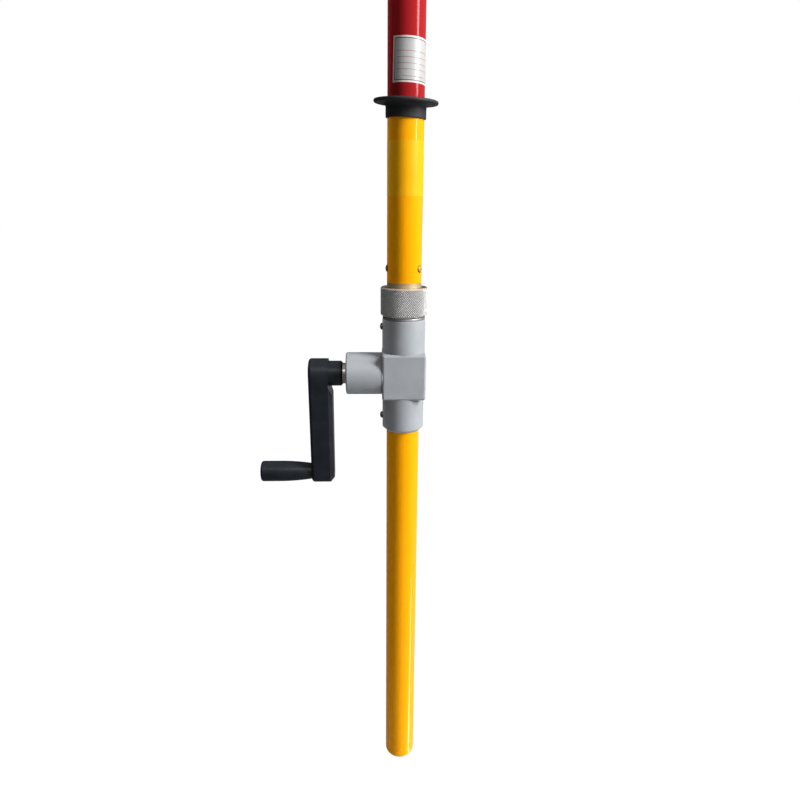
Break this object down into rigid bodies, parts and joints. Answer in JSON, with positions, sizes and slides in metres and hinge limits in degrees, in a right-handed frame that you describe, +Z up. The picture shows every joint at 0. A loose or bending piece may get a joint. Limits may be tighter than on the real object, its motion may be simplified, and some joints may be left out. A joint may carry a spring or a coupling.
{
  "type": "lineman hot stick",
  "caption": "Insulating hot stick with a side crank: a bevel gearbox turns a drive rod inside the upper stick, above a butt grip, with a knurled union joint and a rubber hand guard.",
  "frame": {"origin": "middle of the butt's flat end face, on the stick's axis", "axes": "+Z up the stick towards the insulating end, -X towards the crank, so +Y is away from a viewer who has the crank on the left"},
  "size_m": [0.17, 0.056, 1.4446],
  "materials": {
    "yellow_tube": "glossy pigmented glass fibre",
    "yellow_plastic": "moulded, semi-gloss",
    "red_tube": "glossy pigmented glass fibre",
    "bare_fibreglass": "bare glass fibre",
    "grey_paint": "satin grey paint on a casting",
    "black_screw": "black oxide",
    "spring_steel": "oiled",
    "steel": "machined",
    "aluminium": "turned",
    "bronze": "turned bronze",
    "black_rubber": "matt",
    "white_nylon": "turned nylon",
    "black_plastic": "moulded, satin"
  },
  "bodies": {
    "stick": {"butt_plug": "yellow_plastic", "lower_grip_tube": "yellow_tube", "gearbox_housing": "grey_paint", "sleeve_screws": "black_screw", "bearing_carrier": "aluminium", "input_inner_bush": "bronze", "input_outer_bush": "bronze", "boss_seal": "black_rubber", "boss_clip": "spring_steel", "output_lower_bush": "bronze", "output_upper_bush": "bronze", "joint_spigot": "aluminium", "lower_ferrule": "aluminium", "ferrule_guide": "white_nylon", "lower_rivets": "aluminium", "upper_grip_tube": "yellow_tube", "tube_joiner": "bare_fibreglass", "hand_guard": "black_rubber", "insulating_tube": "red_tube", "rod_guides": "white_nylon", "top_bush": "bronze", "top_spigot": "aluminium", "top_rivets": "aluminium"},
    "crank": {"input_shaft": "steel", "input_gear": "steel", "input_gear_pin": "steel", "input_thrust_washer": "bronze", "shaft_collar": "steel", "crank_key": "steel", "crank_insert": "steel", "crank_arm": "black_plastic", "crank_washer": "steel", "crank_screw": "steel", "spindle_insert": "bronze", "handle_spindle": "steel"},
    "handle": {"crank_handle": "black_plastic"},
    "drive": {"output_shaft": "steel", "output_gear": "steel", "output_gear_pin": "steel", "output_thrust_washer": "bronze", "output_shaft_ring": "steel", "drive_socket": "steel", "drive_rod": "bare_fibreglass", "rod_pins": "steel", "drive_head": "steel", "drive_head_ring": "steel"},
    "nut_ring": {"nut_slip_ring": "bronze"},
    "union_nut": {"coupling_nut": "aluminium"}
  },
  "joints": [
    {"name": "crank_spin", "type": "hinge", "parent": "stick", "child": "crank", "pos_m": [0, 0, 0.4596], "axis": [1, 0, 0], "continuous": true},
    {"name": "output_spin", "type": "hinge", "parent": "stick", "child": "drive", "pos_m": [0, 0, 0.4596], "axis": [0, 0, 1], "continuous": true},
    {"name": "handle_spin", "type": "hinge", "parent": "crank", "child": "handle", "pos_m": [-0.1166, 0, 0.3576], "axis": [1, 0, 0], "continuous": true},
    {"name": "nut_slide", "type": "slide", "parent": "stick", "child": "nut_ring", "axis": [0, 0, 1], "range_m": [0, 0.012]},
    {"name": "nut_turn", "type": "hinge", "parent": "nut_ring", "child": "union_nut", "pos_m": [0, 0, 0.529], "axis": [0, 0, 1], "range_deg": [0, 2880]}
  ],
  "couplings": [
    {"joint": "output_spin", "follows": "crank_spin", "ratio": 1},
    {"joint": "nut_slide", "follows": "nut_turn", "m_per_rad": 0.00023873}
  ]
}
